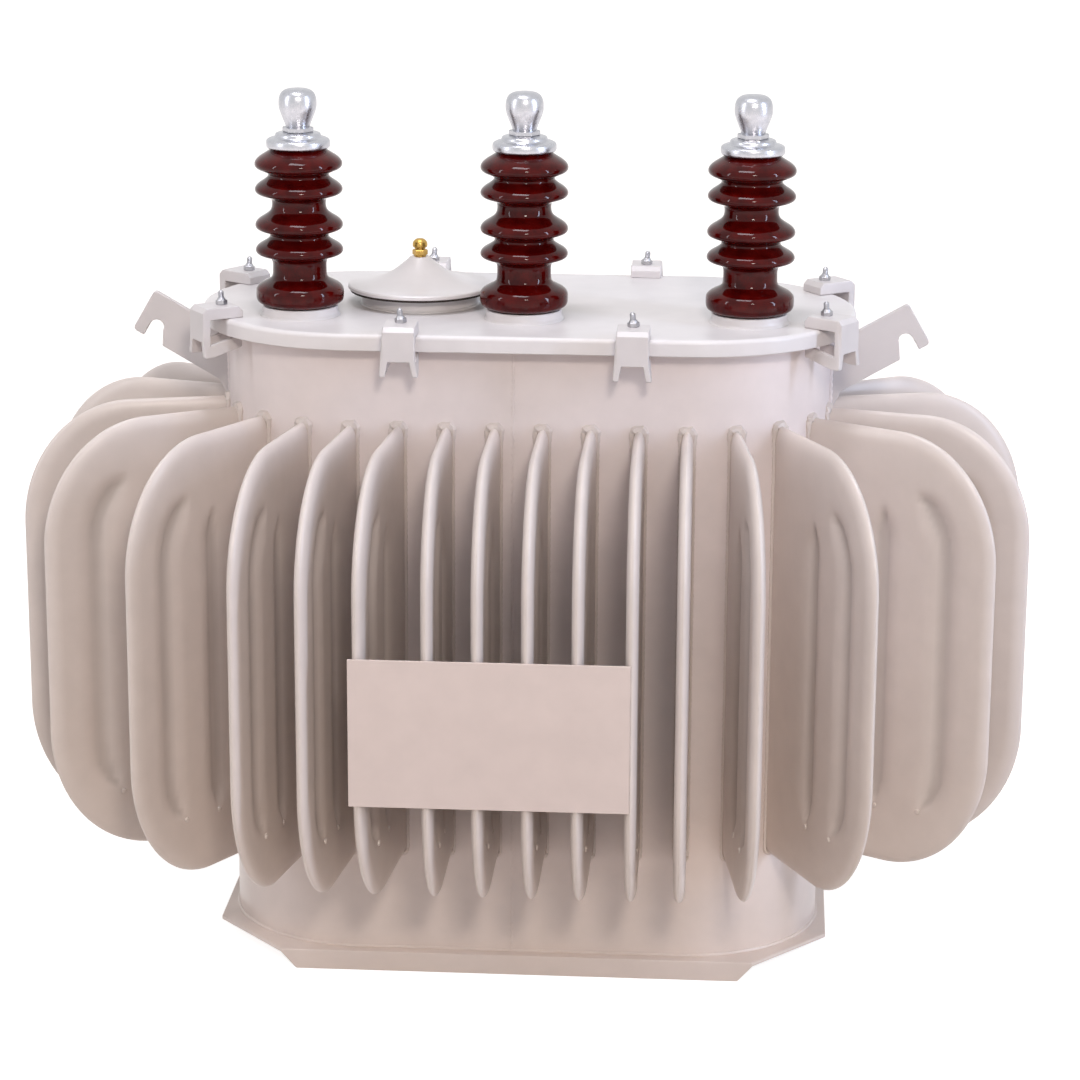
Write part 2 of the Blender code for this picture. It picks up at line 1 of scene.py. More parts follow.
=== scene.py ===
# %% [markdown]
# # An oil-filled distribution transformer
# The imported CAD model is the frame: the main sizes and every place are read from it. Round and pressed
# parts get finer meshes that stand for the CAD solids, while flat plates keep their solids and gain soft
# edges. This way was chosen because a faceted solid is right for collision but shows its facets in a
# highlight.

# %% Load the frame and read the main sizes
import math

import bpy
import numpy as np
from mathutils import Matrix, Vector


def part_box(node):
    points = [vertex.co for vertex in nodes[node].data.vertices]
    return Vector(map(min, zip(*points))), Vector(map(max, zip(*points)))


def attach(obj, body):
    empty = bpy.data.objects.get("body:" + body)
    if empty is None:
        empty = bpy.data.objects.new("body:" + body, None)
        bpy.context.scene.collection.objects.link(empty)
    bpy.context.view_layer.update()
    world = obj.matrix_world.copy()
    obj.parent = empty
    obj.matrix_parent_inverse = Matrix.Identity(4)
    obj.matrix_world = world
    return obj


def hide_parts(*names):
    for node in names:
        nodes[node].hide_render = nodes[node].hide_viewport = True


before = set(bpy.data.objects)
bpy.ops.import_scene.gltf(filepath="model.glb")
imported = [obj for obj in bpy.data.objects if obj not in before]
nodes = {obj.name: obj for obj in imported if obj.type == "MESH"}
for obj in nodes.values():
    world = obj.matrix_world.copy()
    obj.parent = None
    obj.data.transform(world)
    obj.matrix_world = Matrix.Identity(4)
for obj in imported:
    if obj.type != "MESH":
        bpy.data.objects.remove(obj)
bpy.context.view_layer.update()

MM = 0.001
DEGREE = math.pi / 180
QUARTER = math.pi / 2
FULL_TURN = 2 * math.pi

LID_SHEET = 5 * MM
SEAT_GAP = 0.3 * MM
wall_low, wall_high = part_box("tank_wall")
tank_radius = wall_high.y
half_flat = wall_high.x - wall_high.y
rim_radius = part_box("lid")[1].y
lid_top = wall_high.z + SEAT_GAP + LID_SHEET
base_top = wall_low.z
print("tank radius %.3f, half flat %.3f, lid top %.3f" % (tank_radius, half_flat, lid_top))

# %% [markdown]
# ## Colours and a way to write nodes
# Colours are written as the sRGB hex values a paint chart gives, and one function turns them to the linear
# values that the renderer wants. A second one adds any node with its settings and links, so that a material
# reads as a short list. Pattern sizes are in millimetres, turned to the noise's repeats per metre.

# %% Colour, node and pattern helpers
def linear(hex_colour):
    """sRGB hex to linear RGBA."""
    parts = [int(hex_colour[k:k + 2], 16) / 255 for k in (1, 3, 5)]
    return (*[c / 12.92 if c <= 0.04045 else ((c + 0.055) / 1.055) ** 2.4 for c in parts], 1.0)


def add(tree, kind, values=None, **settings):
    """Add a node; settings are its own properties, values its sockets, each set or linked."""
    made = tree.nodes.new(kind)
    for name, value in settings.items():
        setattr(made, name, value)
    for socket, value in (values or {}).items():
        if isinstance(value, bpy.types.NodeSocket):
            tree.links.new(value, made.inputs[socket])
        else:
            made.inputs[socket].default_value = value
    return made


def repeats(size_mm):
    """How many times a metre a pattern of this size repeats."""
    return 1 / (size_mm * MM)


def new_material(name):
    """A material with its Principled shader and the coordinates in metres."""
    material = bpy.data.materials.new(name)
    material.use_nodes = True
    tree = material.node_tree
    where = add(tree, "ShaderNodeTexCoord").outputs["Object"]
    return material, tree, tree.nodes["Principled BSDF"], where


print("paint chart white is", [round(c, 2) for c in linear("#FFFFFF")])

# %% [markdown]
# ## Enamel on pressed steel
# Tank and lid carry an alkyd enamel sprayed over primer, and the fins the same enamel painted a shade greyer,
# which is painted shade. It is a dielectric of IOR 1.5 with a satin sheen. The eye reads three things: cloudy
# patches where the coat is thicker, the fine orange peel of the spray, and a warmer, darker tone low down,
# partly dust and partly painted shade. The fins' valleys are also darkened, painted shade with some dust,
# by an attribute that each fin carries. Real orange peel is 2 to 3 mm, drawn at 7 mm so that it shows. The
# roughness is kept above 0.28, since a denoised picture shows an edge wherever a varying roughness crosses
# that value.

# %% Enamel paints
CLOUD_MM = 260
PATCH_MM = 34
PEEL_MM = 7
PEEL_HEIGHT = 0.1 * MM
PEEL_STRENGTH = 0.35
PATCH_SWING = 0.06
# How far the dust and painted shade low down drift from place to place.
THIN_DUST_AND_SHADE, THICK_DUST_AND_SHADE = 0.5, 1.4
GLOSSIER, DULLER = 0.10, 0.12
GLASSY_IOR = 1.5
# Painted shade, with some dust, in the fins' valleys.
VALLEY_SHADE_AND_DUST = 0.72


def enamel(name, fresh, dusty_shaded, roughness, dust_and_shade_top=0.30, valley_tone=1.0):
    """Enamel fresh above, darker low down and in the fins' valleys: dust and painted shade."""
    material, tree, shader, where = new_material(name)
    height = add(tree, "ShaderNodeSeparateXYZ", {"Vector": where}).outputs["Z"]
    # Darker towards the bottom: partly dust, partly painted shade.
    low = add(tree, "ShaderNodeMapRange", {"Value": height, "From Min": 0.0, "From Max": dust_and_shade_top,
                                           "To Min": 1.0, "To Max": 0.0}, clamp=True).outputs["Result"]
    cloud = add(tree, "ShaderNodeTexNoise", {"Vector": where, "Scale": repeats(CLOUD_MM), "Detail": 3.0})
    patch = add(tree, "ShaderNodeTexNoise", {"Vector": where, "Scale": repeats(PATCH_MM), "Detail": 4.0})
    drift = add(tree, "ShaderNodeMapRange", {"Value": cloud.outputs["Fac"], "To Min": THIN_DUST_AND_SHADE,
                                             "To Max": THICK_DUST_AND_SHADE}).outputs["Result"]
    dust_and_shade = add(tree, "ShaderNodeMath", {0: low, 1: drift}, operation="MULTIPLY", use_clamp=True)
    tone = add(tree, "ShaderNodeMix", {"Factor": dust_and_shade.outputs[0], 6: linear(fresh), 7: linear(dusty_shaded)},
               data_type="RGBA")
    clouded = add(tree, "ShaderNodeMapRange", {"Value": patch.outputs["Fac"], "To Min": 1 - PATCH_SWING,
                                               "To Max": 1 + PATCH_SWING}).outputs["Result"]
    # The fins' valleys are darkened here: painted shade, with some dust.
    valley = add(tree, "ShaderNodeAttribute", attribute_name="valley").outputs["Fac"]
    valley_shade_and_dust = add(tree, "ShaderNodeMapRange", {"Value": valley, "To Min": 1.0,
                                            "To Max": valley_tone}).outputs["Result"]
    value = add(tree, "ShaderNodeMath", {0: clouded, 1: valley_shade_and_dust}, operation="MULTIPLY").outputs[0]
    colour = add(tree, "ShaderNodeHueSaturation", {"Value": value, "Color": tone.outputs[2]})
    tree.links.new(colour.outputs["Color"], shader.inputs["Base Color"])
    sheen = add(tree, "ShaderNodeMapRange", {"Value": cloud.outputs["Fac"], "To Min": roughness - GLOSSIER,
                                             "To Max": roughness + DULLER}).outputs["Result"]
    tree.links.new(sheen, shader.inputs["Roughness"])
    peel = add(tree, "ShaderNodeTexNoise", {"Vector": where, "Scale": repeats(PEEL_MM), "Detail": 2.0})
    bump = add(tree, "ShaderNodeBump", {"Height": peel.outputs["Fac"], "Strength": PEEL_STRENGTH,
                                        "Distance": PEEL_HEIGHT})
    tree.links.new(bump.outputs["Normal"], shader.inputs["Normal"])
    shader.inputs["IOR"].default_value = GLASSY_IOR
    return material


# The second colour is the darker tone low down, partly dust and partly painted shade.
tank_enamel = enamel("sprayed_enamel_on_steel", "#EBE0DE", "#E4D5CB", 0.33, 0.60)
# The fins' enamel is the tank's paint made a shade greyer: painted shade.
shaded_fin_enamel = enamel("shaded_enamel_on_fins", "#DACFC9", "#D6C8BD", 0.33, 0.60, VALLEY_SHADE_AND_DUST)
lid_enamel = enamel("sprayed_enamel_on_lid", "#E2DDDD", "#D8CDCA", 0.33)
fitting_enamel = enamel("enamelled_pressed_fitting", "#D7D1D1", "#CEC3C0", 0.34)
plate_enamel = enamel("rolled_enamel_on_plate", "#DCCCC5", "#D2C1B9", 0.50, 0.7)
print("five enamels from one recipe")

# %% [markdown]
# ## Glazed porcelain
# Bushings are fired clay under a brown glaze: IOR 1.5, almost a mirror, deep red brown where the glaze is
# thick. The glaze pools and thins in soft patches, which a fine noise gives, and its skin is faintly wavy.
# Its specular level is turned down, because a white studio all round would grey its dark red.

# %% Glaze
GLAZE_POOL_MM = 16
GLAZE_WAVE_MM = 24
POOL_EDGES = (0.35, 0.70)
WAVE_STRENGTH = 0.3
GLAZE_ROUGHNESS = 0.07
GLAZE_SPECULAR = 0.2


def glazed_porcelain():
    """Brown glaze with soft pooling."""
    material, tree, shader, where = new_material("brown_glazed_porcelain")
    pool = add(tree, "ShaderNodeTexNoise", {"Vector": where, "Scale": repeats(GLAZE_POOL_MM), "Detail": 3.0})
    share = add(tree, "ShaderNodeMapRange", {"Value": pool.outputs["Fac"], "From Min": POOL_EDGES[0],
                                             "From Max": POOL_EDGES[1]}).outputs["Result"]
    tone = add(tree, "ShaderNodeMix", {"Factor": share, 6: linear("#3B0202"), 7: linear("#520705")},
               data_type="RGBA")
    tree.links.new(tone.outputs[2], shader.inputs["Base Color"])
    wave = add(tree, "ShaderNodeTexNoise", {"Vector": where, "Scale": repeats(GLAZE_WAVE_MM)})
    bump = add(tree, "ShaderNodeBump", {"Height": wave.outputs["Fac"], "Strength": WAVE_STRENGTH,
                                        "Distance": MM})
    tree.links.new(bump.outputs["Normal"], shader.inputs["Normal"])
    shader.inputs["Roughness"].default_value = GLAZE_ROUGHNESS
    shader.inputs["IOR"].default_value = GLASSY_IOR
    shader.inputs["Specular IOR Level"].default_value = GLAZE_SPECULAR
    return material


porcelain = glazed_porcelain()
print("glaze pools are", GLAZE_POOL_MM, "mm wide")

# %% [markdown]
# ## Bare metals and rubber
# The terminals are tin-plated castings, pale and softly reflective. The valve is turned brass, the set
# screws are zinc-plated steel, and the cover sits on a cork-rubber gasket. Each metal keeps the default IOR
# and gets its colour from the metal itself. A fine noise varies the roughness as handling does.

# %% Metals and gasket
GRAIN_MM = 5
GRAIN_STRENGTH = 0.2
POLISHED, HANDLED = 0.06, 0.10


def bare(name, colour, worn, roughness, metallic):
    """A bare material whose tone and roughness vary a little over its surface."""
    material, tree, shader, where = new_material(name)
    grain = add(tree, "ShaderNodeTexNoise", {"Vector": where, "Scale": repeats(GRAIN_MM), "Detail": 5.0})
    tone = add(tree, "ShaderNodeMix", {"Factor": grain.outputs["Fac"], 6: linear(colour), 7: linear(worn)},
               data_type="RGBA")
    tree.links.new(tone.outputs[2], shader.inputs["Base Color"])
    rough = add(tree, "ShaderNodeMapRange", {"Value": grain.outputs["Fac"], "To Min": roughness - POLISHED,
                                             "To Max": roughness + HANDLED}).outputs["Result"]
    tree.links.new(rough, shader.inputs["Roughness"])
    bump = add(tree, "ShaderNodeBump", {"Height": grain.outputs["Fac"], "Strength": GRAIN_STRENGTH,
                                        "Distance": PEEL_HEIGHT})
    tree.links.new(bump.outputs["Normal"], shader.inputs["Normal"])
    shader.inputs["Metallic"].default_value = metallic
    return material


tinned = bare("tin_plated_casting", "#CFCFD4", "#AFB0B7", 0.27, 1.0)
brass = bare("turned_brass", "#D9B56A", "#A9853F", 0.34, 1.0)
zinc = bare("zinc_plated_steel", "#C9C8CC", "#98979B", 0.42, 1.0)
cork_rubber = bare("cork_rubber_gasket", "#3A302C", "#231D1B", 0.80, 0.0)
print("three metals and a gasket")

# %% [markdown]
# ## Building meshes
# Turned parts come from a profile spun round an axis, welds from a tube along a path, and the tank from
# rings. Each helper returns points and faces, so several can be gathered in one piece. Corner cutting turns
# a few profile points to the soft curve of a glazed or cast surface, and it is simpler here than a
# modifier. A tube's sides are set out from a slanting direction that no bead runs along.

# %% Mesh helpers
CORNER_CUT = 0.25
SLANTING = (0.31, 0.17, 0.93)


def soften(points, rounds):
    """Cut the corners of an open line a few times; its two ends stay."""
    line = np.array(points, float)
    for _ in range(rounds):
        near = (1 - CORNER_CUT) * line[:-1] + CORNER_CUT * line[1:]
        far = CORNER_CUT * line[:-1] + (1 - CORNER_CUT) * line[1:]
        cut = np.stack((near, far), axis=1).reshape(-1, line.shape[1])
        line = np.concatenate((line[:1], cut, line[-1:]))
    return line


def skin(rings, loop=False):
    """Points and faces through rings of equal length; unless they close a loop, the end rings are capped."""
    count = len(rings[0])
    points = np.concatenate(rings)
    starts = [count * k for k in range(len(rings))]
    pairs = list(zip(starts, starts[1:])) + ([(starts[-1], 0)] if loop else [])
    faces = [(low + k, low + (k + 1) % count, high + (k + 1) % count, high + k)
             for low, high in pairs for k in range(count)]
    if not loop:
        faces.append(tuple(range(count))[::-1])
        faces.append(tuple(range(starts[-1], starts[-1] + count)))
    return points, faces


def spin(profile, steps):
    """Spin a (radius, height) profile, bottom to top, round Z."""
    angles = np.arange(steps) * FULL_TURN / steps
    return skin([np.stack((r * np.cos(angles), r * np.sin(angles), np.full(steps, z)), axis=1)
                 for r, z in profile])


def oblong_line(radius, height, arc_steps=40):
    """Points round the tank at a distance from its axis line."""
    angles = -QUARTER + math.pi * np.arange(arc_steps + 1) / arc_steps
    right = np.stack((half_flat + radius * np.cos(angles), radius * np.sin(angles)), axis=1)
    flat = np.concatenate((right, -right))
    return np.column_stack((flat, np.full(len(flat), height)))


def tube(path, radii, sides=8, loop=False):
    """A round bead along a path, with a radius for each point."""
    path = np.array(path, float)
    ahead = np.roll(path, -1, axis=0) - np.roll(path, 1, axis=0)
    if not loop:
        ahead[0], ahead[-1] = path[1] - path[0], path[-1] - path[-2]
    ahead /= np.linalg.norm(ahead, axis=1)[:, None]
    side = np.cross(ahead, np.array(SLANTING))
    side /= np.linalg.norm(side, axis=1)[:, None]
    lift = np.cross(side, ahead)
    angles = np.arange(sides) * FULL_TURN / sides
    rings = [p + r * (np.cos(angles)[:, None] * s + np.sin(angles)[:, None] * u)
             for p, r, s, u in zip(path, np.broadcast_to(radii, len(path)), side, lift)]
    return skin(rings, loop)


def moved(shape, matrix):
    """The shape's points through a matrix."""
    turn, shift = np.array(matrix)[:3, :3], np.array(matrix)[:3, 3]
    return shape[0] @ turn.T + shift, shape[1]


def gathered(shapes):
    """Several shapes as one."""
    points, faces, start = [], [], 0
    for shape_points, shape_faces in shapes:
        points.append(shape_points)
        faces += [tuple(start + k for k in face) for face in shape_faces]
        start += len(shape_points)
    return np.concatenate(points), faces


def add_piece(name, shape, material, stands_for=(), sharp=35 * DEGREE):
    """Make the piece, put it on the transformer and hide the CAD nodes it stands for."""
    mesh = bpy.data.meshes.new(name)
    mesh.from_pydata(shape[0].tolist(), [], shape[1])
    mesh.materials.append(material)
    mesh.shade_smooth()
    mesh.set_sharp_from_angle(angle=sharp)
    piece = bpy.data.objects.new(name, mesh)
    bpy.context.scene.collection.objects.link(piece)
    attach(piece, "root")
    if stands_for:
        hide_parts(*stands_for)
    return piece


def at(x, y, z, turn=0.0):
    """Turned about Z, then moved."""
    return Matrix.Translation((x, y, z)) @ Matrix.Rotation(turn, 4, "Z")


def node_middle(name):
    """The middle of a node seen from above, and its lowest level."""
    low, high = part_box(name)
    return (low.x + high.x) / 2, (low.y + high.y) / 2, low.z


print("helpers ready")

# %% [markdown]
# ## The tank and its flange
# The real wall is one sheet rolled to an oblong and closed by a vertical butt weld at the front. A fine
# ring of 40 steps a half turn hides the facets. A weld bead is a tube with a small ripple every few
# millimetres, as the welder's weave leaves it, and it is partly sunk into the sheet.

# %% Wall, flange and their welds
WALL_THICKNESS = 4 * MM
FLANGE_SOFT = 1.5 * MM
FOOT_WELD_RADIUS = 2.8 * MM
FOOT_WELD_OUT = 0.3 * MM
FOOT_WELD_STEPS = 150
SEAM_PLACE = -7 * MM
SEAM_RADIUS = 2.6 * MM
SEAM_SINK = 1.8 * MM
BEAD_STEP = 2.5 * MM
RIPPLE_MM = 9
RIPPLE_SWELL = 0.16


def rippled(path, radius, loop=False, sides=8):
    """A weld bead whose radius swells at every ripple."""
    steps = np.linalg.norm(np.diff(np.array(path, float), axis=0), axis=1)
    run = np.concatenate(((0,), np.cumsum(steps)))
    swell = 1 + RIPPLE_SWELL * np.sin(run * FULL_TURN * repeats(RIPPLE_MM))
    return tube(path, radius * swell, sides, loop)


inner = tank_radius - WALL_THICKNESS
wall = skin([oblong_line(r, z) for r, z in ((inner, wall_low.z), (tank_radius, wall_low.z),
                                            (tank_radius, wall_high.z), (inner, wall_high.z))], loop=True)
add_piece("rolled_tank_wall", wall, tank_enamel, ["tank_wall"])

flange_low, flange_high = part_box("tank_flange")
edge, soft = flange_high.y, FLANGE_SOFT
flange = skin([oblong_line(r, z) for r, z in (
    (tank_radius, flange_low.z), (edge - soft, flange_low.z), (edge, flange_low.z + soft),
    (edge, flange_high.z - soft), (edge - soft, flange_high.z), (tank_radius, flange_high.z))], loop=True)
add_piece("tank_flange_ring", flange, tank_enamel, ["tank_flange"])

foot_line = oblong_line(tank_radius + FOOT_WELD_OUT, base_top + FOOT_WELD_OUT, FOOT_WELD_STEPS)
foot_weld = rippled(foot_line, FOOT_WELD_RADIUS, loop=True, sides=6)
seam_levels = np.arange(base_top, flange_low.z, BEAD_STEP)
seam = rippled([(SEAM_PLACE, SEAM_SINK - tank_radius, z) for z in seam_levels], SEAM_RADIUS)
add_piece("tank_welds", gathered([foot_weld, seam]), tank_enamel)
print("wall seam has", len(seam_levels), "steps")

# %% [markdown]
# ## The pressed fins
# Each fin is two thin sheets pressed in a die, laid face to face and seam-welded round the edge: a hollow
# leaf that oil flows through. The die leaves a soft rolled rim and two long valleys, the outer one bending
# in along the corner, where the sheets are spot-welded together. The face is best made as a height field
# over the fin's own outline: columns run from the wall outward, rows from the bottom edge to the top edge,
# and the height at a point falls away by its distance to the valleys. The rim is then rolled in strips.

# %% Outline and valleys of a fin
fin_low, fin_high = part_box("fin_front_4")
FIN_BOTTOM, FIN_TOP = fin_low.z, fin_high.z
FIN_REACH = fin_high.y - fin_low.y
FIN_HALF = (fin_high.x - fin_low.x) / 2
TOP_CORNER = (0.145, 0.165)
LOW_CORNER = (0.150, 0.175)
RIM_INSET = 20 * MM
ROLL_STEPS = 7
FIN_ROWS = 66
WALL_REACH = -3 * MM
COLUMN_ZONES = ((96 * MM, 8), (138 * MM, 10), (245 * MM, 21))
CORNER_COLUMNS = 9


def fin_columns():
    """Distances from the wall: close where the valleys are and where the corner turns down."""
    inner_radius = TOP_CORNER[0] - RIM_INSET
    corner_x = FIN_REACH - TOP_CORNER[0]
    zones, start = [], WALL_REACH
    for end, count in COLUMN_ZONES:
        zones.append(np.linspace(start, end, count)[:-1])
        start = end
    turn = np.linspace(math.acos((start - corner_x) / inner_radius), 0, CORNER_COLUMNS)
    return np.concatenate((*zones, corner_x + inner_radius * np.cos(turn)))


def edge_level(x, inset, corner, level, sign):
    """Height of the top or bottom edge over a distance from the wall, on the outline at an inset."""
    middle = FIN_REACH - corner[0]
    share = np.clip((x - middle) / (corner[0] - inset), 0, 1)
    drop = (corner[1] - inset) * (1 - np.sqrt(1 - share ** 2))
    return level - sign * (inset + drop)


INNER_VALLEY = 117 * MM
INNER_VALLEY_RISE = 82 * MM
INNER_VALLEY_DROP = 100 * MM
OUTER_VALLEY = 210 * MM
OUTER_VALLEY_RISE = 160 * MM
OUTER_VALLEY_INSET = 70 * MM
OUTER_VALLEY_BEND = 68 * DEGREE
OUTER_VALLEY_FOOT = ((186, 86), (200, 105), (208.5, 130), (210, 155))
LINE_STEP = 5 * MM
FINE_STEP = 3 * MM
VALLEY_TAPER = 34 * MM
VALLEY_TIP = 0.12


def valley_lines():
    """Centre lines of the two valleys, with a half width that tapers to a point at both ends."""
    cx, cz = FIN_REACH - TOP_CORNER[0], FIN_TOP - TOP_CORNER[1]
    bend_x, bend_z = [c - OUTER_VALLEY_INSET for c in TOP_CORNER]
    top = [(cx + bend_x * math.cos(a), cz + bend_z * math.sin(a))
           for a in np.linspace(0, OUTER_VALLEY_BEND, 16)]
    foot = [(x * MM, FIN_BOTTOM + z * MM) for x, z in OUTER_VALLEY_FOOT]
    straight = [(OUTER_VALLEY, z) for z in np.arange(FIN_BOTTOM + OUTER_VALLEY_RISE, cz, LINE_STEP)]
    inner_levels = np.arange(FIN_BOTTOM + INNER_VALLEY_RISE, FIN_TOP - INNER_VALLEY_DROP, LINE_STEP)
    lines = []
    for line in (foot + straight + top, [(INNER_VALLEY, z) for z in inner_levels]):
        line = np.array(line)
        run = np.concatenate(((0,), np.cumsum(np.linalg.norm(np.diff(line, axis=0), axis=1))))
        fine = np.linspace(0, run[-1], int(run[-1] / FINE_STEP))
        points = np.stack([np.interp(fine, run, line[:, k]) for k in (0, 1)], axis=1)
        width = np.clip(np.minimum(fine, run[-1] - fine) / VALLEY_TAPER, VALLEY_TIP, 1)
        lines.append((points, width))
    return lines


VALLEYS = valley_lines()
print("a fin reaches %.0f mm and is %.0f mm thick" % (FIN_REACH / MM, 2 * FIN_HALF / MM))

# %% [markdown]
# The valley has a narrow flat floor, where the two sheets meet, and wide shoulders so that the panels
# between read as the shallow tubes they are. Only the face's height is computed here; the same face is
# mirrored behind.

# %% The pressed face and the whole fin
VALLEY_HALF_WIDTH = 11 * MM
VALLEY_DEPTH = 5.8 * MM
SHOULDER_HALF_WIDTH = 30 * MM
SHOULDER_DEPTH = 5.6 * MM
SHEET = 1.2 * MM
RIM_FADE = 10 * MM


def pressed_height(x, z):
    """Half thickness of the fin at points of its face."""
    height = np.full(x.shape, FIN_HALF)
    for line, width in VALLEYS:
        gap = np.hypot(x[..., None] - line[:, 0], z[..., None] - line[:, 1])
        near = np.clip((gap / (width * VALLEY_HALF_WIDTH)).min(axis=-1), 0, 1)
        wide = np.clip((gap / (width * SHOULDER_HALF_WIDTH)).min(axis=-1), 0, 1)
        height -= VALLEY_DEPTH * (1 + np.cos(math.pi * near)) / 2
        height -= SHOULDER_DEPTH * (1 + np.cos(math.pi * wide)) / 2
    return np.maximum(height, SHEET)


def fin_shape():
    """A fin out along +X from the wall at x = 0, and how deep in a valley each of its points lies."""
    columns, share = fin_columns(), np.linspace(0, 1, FIN_ROWS)
    low = edge_level(columns, RIM_INSET, LOW_CORNER, FIN_BOTTOM, -1)
    high = edge_level(columns, RIM_INSET, TOP_CORNER, FIN_TOP, 1)
    x = np.repeat(columns[:, None], FIN_ROWS, axis=1)
    z = low[:, None] + (high - low)[:, None] * share
    height = pressed_height(x, z)
    from_rim = np.minimum(np.minimum(z - low[:, None], high[:, None] - z), FIN_REACH - RIM_INSET - x)
    height = FIN_HALF + (height - FIN_HALF) * np.clip(from_rim / RIM_FADE, 0, 1)
    depth = ((FIN_HALF - height) / FIN_HALF).ravel() ** 2
    count = len(columns)
    grid = np.arange(count * FIN_ROWS).reshape(count, FIN_ROWS)
    rim = np.concatenate((grid[:, 0], grid[-1, 1:], grid[-2::-1, -1]))
    shapes, depths = [], []
    for side in (-1, 1):
        face = np.stack((x, side * height, z), axis=-1).reshape(-1, 3)
        quads = [(grid[i, j], grid[i + 1, j], grid[i + 1, j + 1], grid[i, j + 1])
                 for i in range(count - 1) for j in range(FIN_ROWS - 1)]
        strips = [face]
        for roll in np.linspace(QUARTER, 0, ROLL_STEPS + 1)[1:]:
            inset = RIM_INSET * (1 - math.cos(roll))
            strips.append(rolled_strip(columns, z[-1], inset, side * FIN_HALF * math.sin(roll)))
        ring, start = rim, len(face)
        for strip in strips[1:]:
            new = np.arange(start, start + len(strip))
            quads += [(ring[k], new[k], new[k + 1], ring[k + 1]) for k in range(len(new) - 1)]
            ring, start = new, start + len(strip)
        quads = [quad if side < 0 else quad[::-1] for quad in quads]
        shapes.append((np.concatenate(strips), [tuple(int(v) for v in quad) for quad in quads]))
        depths += [depth, np.zeros(ROLL_STEPS * len(rim))]
    return gathered(shapes), np.concatenate(depths)


def rolled_strip(columns, side_levels, inset, out):
    """The outline at an inset, matched point for point with the face's own rim."""
    def end(corner, level, sign):
        middle = FIN_REACH - corner[0]
        share = np.clip((columns - middle) / (corner[0] - RIM_INSET), 0, 1)
        x = np.where(columns > middle, middle + (corner[0] - inset) * share, columns)
        return np.stack((x, np.full(len(x), out), edge_level(x, inset, corner, level, sign)), axis=1)
    low = end(LOW_CORNER, FIN_BOTTOM, -1)
    high = end(TOP_CORNER, FIN_TOP, 1)
    side = np.stack((np.full(FIN_ROWS, FIN_REACH - inset), np.full(FIN_ROWS, out), side_levels), axis=1)
    return np.concatenate((low, side[1:-1], high[::-1]))


FIN, FIN_VALLEY = fin_shape()
print("a fin has", len(FIN[1]), "faces")

# %% [markdown]
# Each fin is laid where its CAD node is. The node's crest runs straight out from the wall, so its first and
# last points give the root and the direction. The fins are fillet-welded to the wall all round their foot,
# and small spot welds close the foot of each valley.

# %% Lay the fins and weld them on
CREST_DEPTH = 0.01 * MM
FILLET_OUT = 0.8 * MM
FILLET_SINK = 0.4 * MM
FILLET_STEP = 4 * MM
FILLET_RADIUS = 3.0 * MM
CREST_SWELL = 3.2 * MM
SWELL_SPAN = 14 * MM
SPOT_PROFILE = ((4.2 * MM, -1.5 * MM), (4.2 * MM, 0), (3.2 * MM, 1.5 * MM), (1.4 * MM, 2.2 * MM))
SPOT_SINK = 0.6 * MM
SPOT_PLACES = ((117 * MM, 78 * MM), (182 * MM, 82 * MM))


def fin_place(name):
    """Matrix of a fin, and the slant of the wall where it stands, from its node's crest."""
    points = np.array([v.co for v in nodes[name].data.vertices])
    crest = points[points[:, 2] > points[:, 2].max() - CREST_DEPTH]
    axis = np.clip(crest[:, 0], -half_flat, half_flat)
    crest = crest[np.argsort(np.hypot(crest[:, 0] - axis, crest[:, 1]))]
    root, run = crest[0], crest[-1] - crest[0]
    out = np.array((root[0] - max(-half_flat, min(half_flat, root[0])), root[1]))
    direction, facing = math.atan2(run[1], run[0]), math.atan2(out[1], out[0])
    return at(root[0], root[1], 0, direction), facing - direction


def foot_weld_shape(slant):
    """The bead round a fin's foot: up one side, over the crest and down the other."""
    out = FIN_HALF + FILLET_OUT
    foot, crest = FIN_BOTTOM + FIN_HALF, FIN_TOP - FIN_HALF
    rise = np.arange(foot, crest, FILLET_STEP)
    over = np.linspace(0, math.pi, 9)[1:-1]
    path = [(-out, z) for z in rise]
    path += [(-out * math.cos(a), crest + out * math.sin(a)) for a in over]
    path += [(out, z) for z in rise[::-1]]
    path += [(out * math.cos(a), foot - out * math.sin(a)) for a in over]
    from_crest = (np.array(path)[:, 1] - FIN_TOP) / SWELL_SPAN
    radii = FILLET_RADIUS + CREST_SWELL * np.exp(-from_crest ** 2)
    return rippled([(FILLET_SINK - y * math.tan(slant), y, z) for y, z in path], radii, True, 6)


def spot_welds():
    """Small domes at the foot of each valley, on both faces."""
    dome = spin(SPOT_PROFILE, 12)
    shapes = []
    for x, rise in SPOT_PLACES:
        for side in (-1, 1):
            place = Matrix.Translation((x, side * (FIN_HALF - SPOT_SINK), FIN_BOTTOM + rise))
            shapes.append(moved(dome, place @ Matrix.Rotation(-side * QUARTER, 4, "X")))
    return gathered(shapes)


SPOTS = spot_welds()
for group in ("front", "back", "left", "right"):
    beads = []
    for name in sorted(n for n in nodes if n.startswith("fin_" + group)):
        place, slant = fin_place(name)
        fin = add_piece("pressed_" + name, moved(FIN, place), shaded_fin_enamel, [name], 60 * DEGREE)
        # The valley depth drives the painted shade in the fins' valleys.
        fin.data.attributes.new("valley", "FLOAT", "POINT").data.foreach_set("value", FIN_VALLEY)
        beads += [moved(foot_weld_shape(slant), place), moved(SPOTS, place)]
    add_piece("fin_welds_" + group, gathered(beads), shaded_fin_enamel)
    print(group, "fins:", len(beads) // 2)

# %% [markdown]
# ## The lid, its neck and the cover
# The lid is a pressed tray turned down at the rim, with a rolled upper edge that catches the light. It
# carries a low round boss under each bushing. The hand-hole neck is welded on, and a spun cone closes it
# over a gasket. All are ring or spun shapes, softened where the metal was drawn over a radius.

